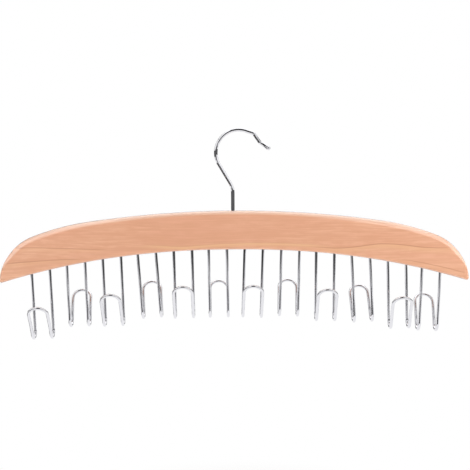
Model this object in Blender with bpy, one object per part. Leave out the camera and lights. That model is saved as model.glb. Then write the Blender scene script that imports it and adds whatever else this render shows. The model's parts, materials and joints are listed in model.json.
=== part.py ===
"""Belt hanger: a curved flat wooden bar, a swivelling wire hook and twelve bent belt wires.

Lengths are metres and +Z is up. X runs along the bar and -Y is its front. The origin is
the rail seat, the inside of the hook's crown, where the hanger's weight is carried.
"""

import math

import bmesh
import bpy
from mathutils import Matrix, Vector

# Clearances and cuts
SEAT_GAP = 0.0003
CUT_OVERRUN = 0.006

# Wooden bar, seen from the front
BAR_LENGTH = 0.4355
BAR_HEIGHT = 0.0358
BAR_THICKNESS = 0.012
CROWN_RADIUS = 0.955
SHOULDER_RUN = 0.081
SHOULDER_BLEND_SHARE = 0.9
TIP_SLOPE = math.radians(85.0)
UNDERSIDE_ARCH = 0.0304
UNDERSIDE_POWER = 2.19
TOP_EDGE_ROUND = 0.003
LOWER_EDGE_ROUND = 0.0014
ROUND_FADE_START = math.radians(50.0)
ROUND_FADE_END = math.radians(75.0)
INNER_CORNER_RADIUS = 0.0006

# Top hook, one wire from its swivel head up to its ball tip
HOOK_WIRE_DIAMETER = 0.0033
HOOK_SIDE_OFFSET = -0.0013
NECK_RISE = 0.0160
NECK_RADIUS = 0.020
NECK_LEAN = math.radians(30.7)
NECK_RUN = 0.0191
LOOP_RADIUS = 0.0211
LOOP_TURN = math.radians(138.7)
CROWN_END_RUN = 0.0065
TIP_BEND_RADIUS = 0.004
TIP_FALL_TURN = math.radians(37.0)
TIP_RUN = 0.0082
TIP_LIFT_TURN = math.radians(21.0)
LIP_RUN = 0.0083
BALL_DIAMETER = 0.0042
SWIVEL_HEAD_DIAMETER = 0.0052
SWIVEL_HEAD_LENGTH = 0.0014
SWIVEL_HEAD_CHAMFER = 0.0004

# Sleeve pressed into the bar, in which the hook turns
SLEEVE_LENGTH = 0.014
SLEEVE_CORE_DIAMETER = 0.0056
SLEEVE_BARB_DIAMETER = 0.0064
SLEEVE_COLLAR_LENGTH = 0.0016
SLEEVE_BARB_LENGTH = 0.0028
SLEEVE_BARB_COUNT = 3
SLEEVE_RECESS = 0.0004
SLEEVE_FLOOR_ROOM = 0.001

# Belt wires, each a hairpin whose closed end is bent up into a J
BELT_WIRE_DIAMETER = 0.0028
ROW_END_MARGIN = 0.0357
ROW_SIDE_OFFSET = 0.0016
LEG_SPACING = 0.017
LEG_INSET = 0.014
WIRE_DROP = 0.0622
BEND_RADIUS = 0.0067
ARM_LEAN = math.radians(22.0)
ARM_FLARE = math.radians(18.0)
ARM_LENGTH = 0.0224

# How far each hand-set wire strays from the even row, left to right
SIDE_SHIFT_SHARES = (0.0, -0.01, 0.0, -0.02, 0.0, -0.02, 0.0, 0.03, 0.01, 0.01, 0.03, 0.0)
LEAN_DEGREES = (2.5, 2.1, 2.0, 4.2, 1.2, 0.9, -2.0, -1.6, -0.6, 2.9, 1.4, -2.3)
DROP_SHARES = (1.0, 0.97, 1.02, 1.0, 1.01, 1.05, 1.02, 1.02, 1.02, 1.01, 0.98, 0.94)

# Facets
CROWN_PIECES = 8
OUTLINE_TURN = math.radians(3.5)
UNDERSIDE_PIECES = 20
CORNER_TURN = math.radians(16.0)
EDGE_SEGMENTS = 3
HOOK_TURN = math.radians(9.5)
BELT_BEND_TURN = math.radians(20.0)
ARM_PIECES = 3
ARCH_PIECES = 10
BALL_PIECES = 6
BALL_END_SHARE = 0.93
BORE_SIDES = 16
SLEEVE_SIDES = 20
HOOK_WIRE_SIDES = 12
BELT_WIRE_SIDES = 8

# Colours of the finishes, linear
WOOD_COLOUR = (0.77, 0.42, 0.27, 1.0)
CHROME_COLOUR = (0.80, 0.80, 0.815, 1.0)
ZINC_COLOUR = (0.48, 0.49, 0.50, 1.0)

DOWN = -math.pi / 2
UP = math.pi / 2


def clear_scene():
    """Removes what the scene starts with."""
    for item in list(bpy.data.objects):
        bpy.data.objects.remove(item, do_unlink=True)


def finish(name, colour, roughness, metallic):
    """A plain Principled finish."""
    material = bpy.data.materials.new(name)
    material.use_nodes = True
    shader = material.node_tree.nodes["Principled BSDF"]
    shader.inputs["Base Color"].default_value = colour
    shader.inputs["Roughness"].default_value = roughness
    shader.inputs["Metallic"].default_value = metallic
    return material


def add_object(name, data, material=None):
    """Links a new object that carries the given mesh or curve."""
    item = bpy.data.objects.new(name, data)
    bpy.context.collection.objects.link(item)
    if material:
        data.materials.append(material)
    return item


def clear_radius(radius, sides):
    """Corner radius of a faceted hole whose flats stay the seat gap clear of a round piece."""
    return (radius + SEAT_GAP) / math.cos(math.pi / sides)


# Runs of wire. A run is a list of moves, each a length and the angle that it turns left.


def straight(length):
    """A straight move."""
    return (length, 0.0)


def bend(radius, turn):
    """A round move, to the left where its turn is positive."""
    return (radius * abs(turn), turn)


def walk(moves, heading, distance):
    """The point reached at a distance along a run that starts at zero."""
    point = Vector((0.0, 0.0))
    left = distance
    for length, turn in moves:
        gone = min(left, length)
        half_turn = turn * gone / length / 2
        chord = gone * math.sin(half_turn) / half_turn if half_turn else gone
        way = heading + half_turn
        point += chord * Vector((math.cos(way), math.sin(way)))
        heading += 2 * half_turn
        left -= gone
        if left <= 0:
            break
    return point


def stations(moves, finest_turn):
    """Distances along a run at which its polyline has its points."""
    places = [0.0]
    for length, turn in moves:
        start = places[-1]
        pieces = max(1, math.ceil(abs(turn) / finest_turn))
        places += [start + length * step / pieces for step in range(1, pieces + 1)]
    return places


def wire_object(name, points, shares, diameter, sides, material):
    """A round wire along the points, its thickness at each point a share of the diameter."""
    curve = bpy.data.curves.new(name, "CURVE")
    curve.dimensions = "3D"
    curve.bevel_depth = diameter / 2
    curve.bevel_resolution = sides // 2 - 2
    curve.use_fill_caps = True
    spline = curve.splines.new("POLY")
    spline.points.add(len(points) - 1)
    for spot, point, share in zip(spline.points, points, shares):
        spot.co = (*point, 1.0)
        spot.radius = share
    return add_object(name, curve, material)


# Wooden bar. Its own middle is x = 0, and the top of its crown is z = 0.


def crown_height(x):
    """Height of the long crown arc, below zero away from the middle."""
    return math.sqrt(CROWN_RADIUS**2 - x**2) - CROWN_RADIUS


def underside_height(x):
    """Height of the arched underside."""
    reach = abs(x) / (BAR_LENGTH / 2)
    return -BAR_HEIGHT - UNDERSIDE_ARCH * reach**UNDERSIDE_POWER


def arc_points(start, way, finish_point):
    """Points of the arc that leaves start along way and ends at the finish point."""
    chord = finish_point - start
    normal = Vector((-way.y, way.x))
    radius = chord.length_squared / (2 * chord.dot(normal))
    turn = 2 * math.asin(chord.length / (2 * radius))
    heading = math.atan2(way.y, way.x)
    move = bend(abs(radius), turn)
    return [start + walk([move], heading, place) for place in stations([move], OUTLINE_TURN)]


def two_arcs(start, way, finish_point, last_way, blend_share):
    """Points of two arcs that meet smoothly and leave and arrive along the given ways."""
    span = finish_point - start
    ways = blend_share * way + last_way
    square = ways.length_squared - (blend_share + 1) ** 2
    linear = -2 * span.dot(ways)
    root = math.sqrt(linear**2 - 4 * square * span.length_squared)
    reach = (-linear - root) / (2 * square)
    first_corner = start + blend_share * reach * way
    last_corner = finish_point - reach * last_way
    joint = (first_corner + blend_share * last_corner) / (1 + blend_share)
    first = arc_points(start, way, joint)
    last = arc_points(finish_point, -last_way, joint)
    return first + last[-2::-1]


def tip_corner():
    """The round lower corner of the right tip, from its end face to the underside."""
    radius = LOWER_EDGE_ROUND + INNER_CORNER_RADIUS
    half = BAR_LENGTH / 2
    reach = (half - radius) / half
    slope = math.atan(UNDERSIDE_ARCH * UNDERSIDE_POWER * reach ** (UNDERSIDE_POWER - 1) / half)
    foot_x = half - radius * (1 + math.sin(slope))
    centre = Vector((half - radius, underside_height(foot_x) + radius * math.cos(slope)))
    start = centre + radius * Vector((math.sin(TIP_SLOPE), math.cos(TIP_SLOPE)))
    move = bend(radius, TIP_SLOPE - slope - math.pi)
    return [start + walk([move], -TIP_SLOPE, place) for place in stations([move], CORNER_TURN)]


def half_top_edge(tip):
    """The top edge from the middle out to the tip: crown, shoulder and rounded end."""
    shoulder = BAR_LENGTH / 2 - SHOULDER_RUN
    crown = [Vector((x, crown_height(x))) for x in
             (shoulder * step / CROWN_PIECES for step in range(CROWN_PIECES + 1))]
    slope = math.asin(shoulder / CROWN_RADIUS)
    way = Vector((math.cos(slope), -math.sin(slope)))
    tip_way = Vector((math.cos(TIP_SLOPE), -math.sin(TIP_SLOPE)))
    return crown + two_arcs(crown[-1], way, tip, tip_way, SHOULDER_BLEND_SHARE)[1:]


def bar_outline():
    """The bar's outline, clockwise from the middle of its top edge."""
    corner = tip_corner()
    right = half_top_edge(corner[0]) + corner[1:]
    foot_x = corner[-1].x
    inner = [foot_x * (1 - 2 * step / UNDERSIDE_PIECES) for step in range(1, UNDERSIDE_PIECES)]
    underside = [Vector((x, underside_height(x))) for x in inner]
    left = [Vector((-point.x, point.y)) for point in right[:0:-1]]
    return right + underside + left


def edge_round(side):
    """Radius of the rounding along a side face: full on top, less on the tips and below."""
    slope = math.acos(max(-1.0, min(1.0, side.normal.z)))
    top_share = (ROUND_FADE_END - slope) / (ROUND_FADE_END - ROUND_FADE_START)
    return LOWER_EDGE_ROUND + (TOP_EDGE_ROUND - LOWER_EDGE_ROUND) * max(0.0, min(1.0, top_share))


def weigh_outline_edges(shape):
    """Marks the front and back outline edges for rounding."""
    weight = shape.edges.layers.float.new("bevel_weight_edge")
    for edge in shape.edges:
        sides = [face for face in edge.link_faces if abs(face.normal.y) < 0.5]
        if len(sides) == 1:
            edge[weight] = edge_round(sides[0]) / TOP_EDGE_ROUND


def wire_bores(stations_in_bar):
    """Cutters for the bores that hold the belt wires' legs, one mesh."""
    cutters = bmesh.new()
    radius = clear_radius(BELT_WIRE_DIAMETER / 2, BORE_SIDES)
    length = LEG_INSET + SEAT_GAP + CUT_OVERRUN
    for station in stations_in_bar:
        for side in (-1, 1):
            middle = Vector((side * LEG_SPACING / 2, 0.0, LEG_INSET + SEAT_GAP - length / 2))
            add_cutter(cutters, station @ Matrix.Translation(middle), radius, length)
    return cutters


def add_cutter(cutters, place, radius, length):
    """Adds one closed round cutter along its own Z."""
    bmesh.ops.create_cone(
        cutters, cap_ends=True, segments=BORE_SIDES, radius1=radius, radius2=radius,
        depth=length, matrix=place,
    )


def sleeve_depth():
    """Depth of the sleeve's bore in the bar."""
    head = SEAT_GAP + SWIVEL_HEAD_LENGTH + 2 * SWIVEL_HEAD_CHAMFER
    return SLEEVE_RECESS + SLEEVE_LENGTH + head + SLEEVE_FLOOR_ROOM


def make_bar(material, stations_in_bar):
    """The wooden bar, rounded along its edges and bored for the wires and the sleeve."""
    shape = bmesh.new()
    front = [shape.verts.new((point.x, -BAR_THICKNESS / 2, point.y)) for point in bar_outline()]
    face = shape.faces.new(front)
    grown = bmesh.ops.extrude_face_region(shape, geom=[face])["geom"]
    moved = [item for item in grown if isinstance(item, bmesh.types.BMVert)]
    bmesh.ops.translate(shape, verts=moved, vec=(0.0, BAR_THICKNESS, 0.0))
    bmesh.ops.recalc_face_normals(shape, faces=shape.faces)
    weigh_outline_edges(shape)
    mesh = bpy.data.meshes.new("wood_bar")
    shape.to_mesh(mesh)
    shape.free()
    bar = add_object("wood_bar", mesh, material)

    rounding = bar.modifiers.new("rounded_edges", "BEVEL")
    rounding.limit_method = "WEIGHT"
    rounding.offset_type = "OFFSET"
    rounding.width = TOP_EDGE_ROUND
    rounding.segments = EDGE_SEGMENTS
    rounding.use_clamp_overlap = False

    cutters = wire_bores(stations_in_bar)
    depth = sleeve_depth() + CUT_OVERRUN
    middle = Vector((HOOK_SIDE_OFFSET, 0.0, CUT_OVERRUN - depth / 2))
    radius = clear_radius(SLEEVE_BARB_DIAMETER / 2, BORE_SIDES)
    add_cutter(cutters, Matrix.Translation(middle), radius, depth)
    cutter_mesh = bpy.data.meshes.new("bore_cutters")
    cutters.to_mesh(cutter_mesh)
    cutters.free()
    cutter = add_object("bore_cutters", cutter_mesh)
    cutter.display_type = "WIRE"
    cutter.hide_render = True
    cutter.parent = bar

    bores = bar.modifiers.new("bores", "BOOLEAN")
    bores.operation = "DIFFERENCE"
    bores.solver = "EXACT"
    bores.object = cutter
    return bar


# Hook sleeve, turned about Z with its top face at z = 0


def sleeve_profile():
    """The sleeve's half section, down its outer side: a collar, then barbs that grip the wood."""
    bore = clear_radius(HOOK_WIRE_DIAMETER / 2, SLEEVE_SIDES)
    core = SLEEVE_CORE_DIAMETER / 2
    barb = SLEEVE_BARB_DIAMETER / 2
    section = [(bore, 0.0), (barb, 0.0), (barb, -SLEEVE_COLLAR_LENGTH), (core, -SLEEVE_COLLAR_LENGTH)]
    free = SLEEVE_LENGTH - SLEEVE_COLLAR_LENGTH - SLEEVE_BARB_COUNT * SLEEVE_BARB_LENGTH
    land = free / (SLEEVE_BARB_COUNT + 1)
    for ring in range(SLEEVE_BARB_COUNT):
        top = -SLEEVE_COLLAR_LENGTH - land - ring * (SLEEVE_BARB_LENGTH + land)
        section += [(core, top), (barb, top), (core, top - SLEEVE_BARB_LENGTH)]
    return section + [(core, -SLEEVE_LENGTH), (bore, -SLEEVE_LENGTH)]


def make_sleeve(material):
    """The barbed sleeve, spun from its half section."""
    shape = bmesh.new()
    corners = [shape.verts.new((radius, 0.0, height)) for radius, height in sleeve_profile()]
    edges = [shape.edges.new(pair) for pair in zip(corners, corners[1:] + corners[:1])]
    bmesh.ops.spin(
        shape, geom=corners + edges, cent=(0.0, 0.0, 0.0), axis=(0.0, 0.0, 1.0),
        angle=2 * math.pi, steps=SLEEVE_SIDES, use_merge=True,
    )
    bmesh.ops.recalc_face_normals(shape, faces=shape.faces)
    mesh = bpy.data.meshes.new("hook_sleeve")
    shape.to_mesh(mesh)
    shape.free()
    mesh.shade_smooth()
    mesh.set_sharp_from_angle(angle=math.radians(35.0))
    return add_object("hook_sleeve", mesh, material)


# Top hook, in a plane across the bar's thickness. Its shank is x = 0, and z = 0 is the bar's top.


def head_bottom():
    """Height of the swivel head's underside."""
    return -SLEEVE_RECESS - SLEEVE_LENGTH - SEAT_GAP - SWIVEL_HEAD_LENGTH - 2 * SWIVEL_HEAD_CHAMFER


def loop_centre():
    """Centre of the hook's round loop."""
    neck = [straight(NECK_RISE), bend(NECK_RADIUS, NECK_LEAN), straight(NECK_RUN)]
    start = walk(neck, UP, sum(length for length, _ in neck))
    way = UP + NECK_LEAN
    return start + LOOP_RADIUS * Vector((math.sin(way), -math.cos(way)))


def hook_run():
    """The hook from the top of its swivel head to the neck of its ball."""
    shank = NECK_RISE - head_bottom() - SWIVEL_HEAD_LENGTH - 2 * SWIVEL_HEAD_CHAMFER
    return [
        straight(shank),
        bend(NECK_RADIUS, NECK_LEAN),
        straight(NECK_RUN),
        bend(LOOP_RADIUS, -LOOP_TURN),
        straight(CROWN_END_RUN),
        bend(TIP_BEND_RADIUS, -TIP_FALL_TURN),
        straight(TIP_RUN),
        bend(TIP_BEND_RADIUS, TIP_LIFT_TURN),
        straight(LIP_RUN),
    ]


def head_stations():
    """Distances and thickness shares of the upset swivel head, from its underside up."""
    full = SWIVEL_HEAD_DIAMETER / HOOK_WIRE_DIAMETER
    worn = (SWIVEL_HEAD_DIAMETER - 2 * SWIVEL_HEAD_CHAMFER) / HOOK_WIRE_DIAMETER
    shoulder = SWIVEL_HEAD_CHAMFER + SWIVEL_HEAD_LENGTH
    return [(0.0, worn), (SWIVEL_HEAD_CHAMFER, full), (shoulder, full)]


def ball_stations(centre):
    """Distances and thickness shares of the ball tip, from its neck to its end."""
    ball = BALL_DIAMETER / 2
    start = math.asin(HOOK_WIRE_DIAMETER / BALL_DIAMETER)
    finish_angle = math.pi * BALL_END_SHARE
    angles = [start + (finish_angle - start) * step / BALL_PIECES for step in range(1, BALL_PIECES + 1)]
    return [(centre - ball * math.cos(angle), BALL_DIAMETER * math.sin(angle) / HOOK_WIRE_DIAMETER)
            for angle in angles]


def make_hook(material):
    """The hook wire with its upset head below and its ball tip."""
    run = hook_run()
    head_length = SWIVEL_HEAD_LENGTH + 2 * SWIVEL_HEAD_CHAMFER
    moves = [straight(head_length)] + run + [straight(BALL_DIAMETER)]
    end = sum(length for length, _ in moves) - BALL_DIAMETER
    neck = math.sqrt(BALL_DIAMETER**2 - HOOK_WIRE_DIAMETER**2) / 2
    wire = [(head_length + place, 1.0) for place in stations(run, HOOK_TURN)[:-1]]
    places = head_stations() + wire + [(end - neck, 1.0)] + ball_stations(end)
    points = []
    for distance, _ in places:
        spot = walk(moves, UP, distance)
        points.append((spot.x, 0.0, spot.y + head_bottom()))
    shares = [share for _, share in places]
    return wire_object("hook_wire", points, shares, HOOK_WIRE_DIAMETER, HOOK_WIRE_SIDES, material)


# Belt wires. A wire's own origin is where its middle meets the bar's underside.


def wire_stations():
    """Where each belt wire stands in the bar's own frame, and which side it hooks to."""
    gaps = len(LEAN_DEGREES) - 1
    pitch = (BAR_LENGTH - 2 * ROW_END_MARGIN) / gaps
    places = []
    for index, (shift_share, lean) in enumerate(zip(SIDE_SHIFT_SHARES, LEAN_DEGREES)):
        x = ROW_SIDE_OFFSET + pitch * (index - gaps / 2 + shift_share)
        origin = Matrix.Translation((x, 0.0, underside_height(x)))
        leaning = Matrix.Rotation(-math.radians(lean), 4, "Y")
        facing = Matrix.Rotation(math.pi * (index % 2), 4, "Z")
        places.append(origin @ leaning @ facing)
    return places


def belt_wire_points(drop):
    """The wire's path: up a leg, round the J, over the arch and back along the other leg."""
    half = LEG_SPACING / 2
    leg = LEG_INSET + drop - BEND_RADIUS - BELT_WIRE_DIAMETER / 2
    side_view = [straight(leg), bend(BEND_RADIUS, math.pi - ARM_LEAN), (ARM_LENGTH + half, -ARM_FLARE)]
    bent = stations(side_view[:2], BELT_BEND_TURN)
    arch_start = bent[-1] + ARM_LENGTH
    arm = [bent[-1] + ARM_LENGTH * step / ARM_PIECES for step in range(1, ARM_PIECES + 1)]
    leg_side = [(half, place) for place in bent + arm]
    arch = []
    for step in range(1, ARCH_PIECES):
        angle = math.pi * step / ARCH_PIECES
        arch.append((half * math.cos(angle), arch_start + half * math.sin(angle)))
    flat = leg_side + arch + [(-across, place) for across, place in reversed(leg_side)]
    points = []
    for across, place in flat:
        spot = walk(side_view, DOWN, place)
        points.append((across, -spot.x, LEG_INSET + spot.y))
    return points


def make_belt_wires(material, places):
    """One object for each belt wire, left to right."""
    wires = []
    for number, (place, drop_share) in enumerate(zip(places, DROP_SHARES), start=1):
        points = belt_wire_points(WIRE_DROP * drop_share)
        wire = wire_object(
            f"belt_wire_{number:02d}", points, [1.0] * len(points),
            BELT_WIRE_DIAMETER, BELT_WIRE_SIDES, material,
        )
        wire.matrix_basis = place
        wires.append(wire)
    return wires


def main():
    """Builds the hanger with its rail seat at the origin."""
    clear_scene()
    chrome = finish("chrome", CHROME_COLOUR, 0.12, 1.0)
    wood = finish("lacquered_wood", WOOD_COLOUR, 0.42, 0.0)
    zinc = finish("zinc_plate", ZINC_COLOUR, 0.35, 1.0)

    centre = loop_centre()
    crown_inside = centre.y + LOOP_RADIUS - HOOK_WIRE_DIAMETER / 2
    shank_top = Vector((-centre.x, 0.0, -crown_inside))

    hook = make_hook(chrome)
    hook.location = shank_top

    swivel = add_object("swivel_axis", None)
    swivel.location = shank_top
    sleeve = make_sleeve(zinc)
    sleeve.parent = swivel
    sleeve.location = (0.0, 0.0, -SLEEVE_RECESS)

    places = wire_stations()
    bar = make_bar(wood, places)
    bar.parent = swivel
    bar.location = (-HOOK_SIDE_OFFSET, 0.0, 0.0)
    for wire in make_belt_wires(chrome, places):
        wire.parent = bar


main()
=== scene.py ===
"""Looks of the belt hanger: its lacquered wooden bar, its swivel hook and its bent belt wires.

Lengths are metres in the frame's own axes: +X to the right seen from the front, +Y to the
back and +Z up. The origin is the rail seat, the inside of the hook's crown.
"""

import json
import logging
import math
from dataclasses import dataclass, field
from enum import Enum

import bmesh
import bpy
from bmesh.types import BMEdge, BMesh, BMFace, BMVert
from mathutils import Matrix, Vector


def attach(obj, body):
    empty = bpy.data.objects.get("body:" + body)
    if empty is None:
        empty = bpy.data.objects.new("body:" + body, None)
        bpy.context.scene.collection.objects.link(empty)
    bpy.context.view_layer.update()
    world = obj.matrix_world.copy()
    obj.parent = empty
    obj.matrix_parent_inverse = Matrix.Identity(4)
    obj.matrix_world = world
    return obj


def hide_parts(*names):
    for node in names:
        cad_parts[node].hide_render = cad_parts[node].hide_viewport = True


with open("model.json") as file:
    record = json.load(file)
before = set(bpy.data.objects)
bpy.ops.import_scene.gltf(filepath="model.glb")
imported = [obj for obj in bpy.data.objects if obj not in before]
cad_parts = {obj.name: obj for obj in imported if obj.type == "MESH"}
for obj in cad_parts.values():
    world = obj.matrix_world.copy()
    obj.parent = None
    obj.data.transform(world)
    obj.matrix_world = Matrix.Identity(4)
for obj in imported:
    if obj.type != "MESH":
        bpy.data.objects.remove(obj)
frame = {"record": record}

LOG = logging.getLogger("belt_hanger")

# A quarter turn, and the headings of a pen that draws straight up and straight down
QUARTER = math.pi / 2
UP = QUARTER
DOWN = -QUARTER

# Angle between two faces past which their edge stays sharp, and gap below which points meet
SHARP_EDGE = math.radians(38.0)
MERGE_DISTANCE = 1e-6

# Mesh attribute that says how much painted highlight each point of the bar's top edge takes, most
# where it faces up
TOP_HIGHLIGHT = "top_edge_highlight"

Triple = tuple[float, float, float]
Colour = tuple[float, float, float, float]
Socket = bpy.types.NodeSocket
Value = float | Socket

# A range of values, low and high, and the two values that its ends are mapped to
Mask = tuple[float, float, float, float]

# Values of a node's sockets, each with the socket's name
Settings = tuple[tuple[str, float], ...]


class Slot(Enum):
    """Material slots of the record, by their names."""

    WOOD = "wood"
    HOOK_CHROME = "hook_chrome"
    WIRE_CHROME = "wire_chrome"
    ZINC = "zinc"


class Body(Enum):
    """The two bodies of the hanger: the hook hangs on the rail, the rest turns under it."""

    HOOK = "hook"
    HANGER = "hanger"


class Facing(Enum):
    """Side of the bar to which a belt wire's open hook points."""

    FRONT = 0.0
    BACK = math.pi


# Small helpers


def way_of(heading: float) -> Vector:
    """Direction of a heading."""
    return Vector((math.cos(heading), math.sin(heading)))


def left_of(way: Vector) -> Vector:
    """Direction a quarter turn to the left of another."""
    return Vector((-way.y, way.x))


def held(share: float) -> float:
    """A share kept between 0 and 1."""
    return max(0.0, min(1.0, share))


def only(items: list, kind: type) -> list:
    """The items of one kind, in their order."""
    return [item for item in items if isinstance(item, kind)]


def far_end(grown: list, old: set[BMVert]) -> list:
    """Finds the far end of an extrusion.

    Args:
        grown: All that the extrusion made.
        old: The vertices that it started from.

    Returns:
        The new vertices and the edges between them, without what lies along the extrusion.
    """
    across = {edge for edge in only(grown, BMEdge) if old.isdisjoint(edge.verts)}
    return [item for item in grown if isinstance(item, BMVert) or item in across]


# Drawing in one plane


@dataclass(frozen=True)
class Move:
    """One stretch of a run: its length, and the angle that it turns left on the way.

    Attributes:
        length: Length along the run.
        turn: Angle turned to the left, zero on a straight stretch.
    """

    length: float
    turn: float = 0.0

    @staticmethod
    def bend(radius: float, turn: float) -> "Move":
        """A round stretch, to the left where its turn is positive."""
        return Move(radius * abs(turn), turn)

    def part(self, length: float) -> "Move":
        """The first part of this stretch."""
        return Move(length, self.turn * length / self.length)


@dataclass
class Run:
    """Stretches one after another, from a start point and a heading.

    Attributes:
        moves: The stretches.
        heading: Angle at which the first one sets off.
        start: Point at which it starts.
    """

    moves: list[Move]
    heading: float
    start: Vector = field(default_factory=lambda: Vector((0.0, 0.0)))

    def length(self) -> float:
        """Length of all the stretches."""
        return sum(move.length for move in self.moves)

    def at(self, distance: float) -> tuple[Vector, float]:
        """Finds a place on the run.

        Args:
            distance: Length from the start of the run.

        Returns:
            The point there, and the heading.
        """
        point, heading, left = self.start.copy(), self.heading, distance
        for move in self.moves:
            gone = move.part(min(left, move.length))
            half = gone.turn / 2
            chord = gone.length * math.sin(half) / half if half else gone.length
            point += chord * way_of(heading + half)
            heading += gone.turn
            left -= gone.length
            if left <= 0:
                break
        return point, heading


class Pen:
    """Pushes and spins the last vertices of a bmesh through a plane that faces the front.

    Its tip is one vertex for an outline, or a ring of edges for a wire.
    """

    def __init__(self, shape: BMesh, tip: list, start: Vector, heading: float) -> None:
        """Takes hold of the tip.

        Args:
            shape: The mesh that grows.
            tip: Its loose vertices and edges that are carried on.
            start: Point in the plane where the tip is.
            heading: Angle at which the pen sets off.
        """
        self.shape = shape
        self.tip = tip
        self.point = start.copy()
        self.heading = heading

    def _vertices(self) -> list[BMVert]:
        """Vertices of the tip."""
        return only(self.tip, BMVert)

    def _edges(self) -> list[BMEdge]:
        """Edges of the tip, none where it is one vertex."""
        return only(self.tip, BMEdge)

    def push(self, length: float, steps: int = 1) -> "Pen":
        """Goes straight on.

        Args:
            length: How far.
            steps: Number of equal steps.

        Returns:
            The pen.
        """
        for _ in range(steps):
            step = way_of(self.heading) * length / steps
            if self._edges():
                grown = bmesh.ops.extrude_edge_only(self.shape, edges=self._edges())["geom"]
                self.tip = far_end(grown, set(self._vertices()))
            else:
                self.tip = bmesh.ops.extrude_vert_indiv(self.shape, verts=self.tip)["verts"]
            bmesh.ops.translate(self.shape, verts=self._vertices(), vec=(step.x, 0.0, step.y))
            self.point += step
        return self

    def turn(self, radius: float, angle: float, steps: int) -> "Pen":
        """Goes round an arc.

        Args:
            radius: Radius of the arc.
            angle: Angle turned, to the left where it is positive.
            steps: Number of equal steps.

        Returns:
            The pen.
        """
        inward = left_of(way_of(self.heading)) * math.copysign(1.0, angle)
        centre = self.point + inward * radius
        for _ in range(steps):
            grown = bmesh.ops.spin(
                self.shape, geom=self.tip, cent=(centre.x, 0.0, centre.y), axis=(0.0, -1.0, 0.0),
                dvec=(0.0, 0.0, 0.0), angle=angle / steps, steps=1, use_merge=False,
                use_normal_flip=False, use_duplicate=False,
            )["geom_last"]
            self.tip = [item for item in grown if not isinstance(item, BMFace)]
        self.point = centre + Matrix.Rotation(angle, 2) @ (self.point - centre)
        self.heading += angle
        return self

    def swell(self, share: float) -> "Pen":
        """Widens the tip about its own middle.

        Args:
            share: New width as a share of the present one.

        Returns:
            The pen.
        """
        about = Matrix.Translation((-self.point.x, 0.0, -self.point.y))
        bmesh.ops.scale(self.shape, vec=(share, share, share), space=about, verts=self._vertices())
        return self

    def close(self) -> None:
        """Caps a ring tip with one face."""
        bmesh.ops.contextual_create(self.shape, geom=self._edges())


def wire_pen(radius: float, sides: int, start: Vector, heading: float) -> Pen:
    """Starts a round wire.

    Args:
        radius: Radius of the wire.
        sides: Number of its sides.
        start: Middle of its first end, in the plane that faces the front.
        heading: Angle at which it sets off.

    Returns:
        A pen that holds the wire's first ring, whose end is capped.
    """
    shape = bmesh.new()
    place = Matrix.Translation((start.x, 0.0, start.y)) @ Matrix.Rotation(UP - heading, 4, "Y")
    bmesh.ops.create_circle(shape, cap_ends=True, radius=radius, segments=sides, matrix=place)
    return Pen(shape, [*shape.verts, *shape.edges], start, heading)


# From bmesh to piece


def plain_mesh(shape: BMesh, name: str) -> bpy.types.Mesh:
    """Turns a bmesh into a mesh.

    Args:
        shape: The bmesh, which is freed.
        name: Name of the mesh.

    Returns:
        The mesh, its faces pointing out.
    """
    bmesh.ops.recalc_face_normals(shape, faces=shape.faces)
    mesh = bpy.data.meshes.new(name)
    shape.to_mesh(mesh)
    shape.free()
    return mesh


def smooth(mesh: bpy.types.Mesh) -> None:
    """Shades a mesh smooth, up to its sharp edges."""
    mesh.shade_smooth()
    mesh.set_sharp_from_angle(angle=SHARP_EDGE)


def finished_mesh(shape: BMesh, name: str) -> bpy.types.Mesh:
    """Turns a closed bmesh into a smooth mesh.

    Args:
        shape: The bmesh, which is freed.
        name: Name of the mesh.

    Returns:
        The mesh.
    """
    bmesh.ops.remove_doubles(shape, verts=shape.verts, dist=MERGE_DISTANCE)
    mesh = plain_mesh(shape, name)
    smooth(mesh)
    return mesh


def mesh_object(shape: BMesh, name: str) -> bpy.types.Object:
    """Links a bmesh to the scene as an object.

    Args:
        shape: The bmesh, which is freed.
        name: Name of the object.

    Returns:
        The object.
    """
    item = bpy.data.objects.new(name, plain_mesh(shape, name))
    bpy.context.scene.collection.objects.link(item)
    return item


def joined(shapes: list[BMesh], name: str) -> bpy.types.Object:
    """Joins closed shapes into one object of separate bodies.

    Args:
        shapes: The shapes, which are freed.
        name: Name of the object.

    Returns:
        The object.
    """
    whole = bmesh.new()
    for shape in shapes:
        part = bpy.data.meshes.new("part")
        shape.to_mesh(part)
        shape.free()
        whole.from_mesh(part)
        bpy.data.meshes.remove(part)
    return mesh_object(whole, name)


def show(
    mesh: bpy.types.Mesh, node: str, body: Body, material: bpy.types.Material,
) -> None:
    """Puts a finished mesh into the scene in the place of its frame node.

    Args:
        mesh: The mesh, in the frame's own axes.
        node: The frame node that it stands for.
        body: The body that it moves with.
        material: Its finish.
    """
    mesh.materials.append(material)
    piece = bpy.data.objects.new(f"{node}_fine", mesh)
    bpy.context.scene.collection.objects.link(piece)
    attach(piece, body.value)
    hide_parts(node)
    LOG.info("%s: %d faces", piece.name, len(mesh.polygons))


# Materials


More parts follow.
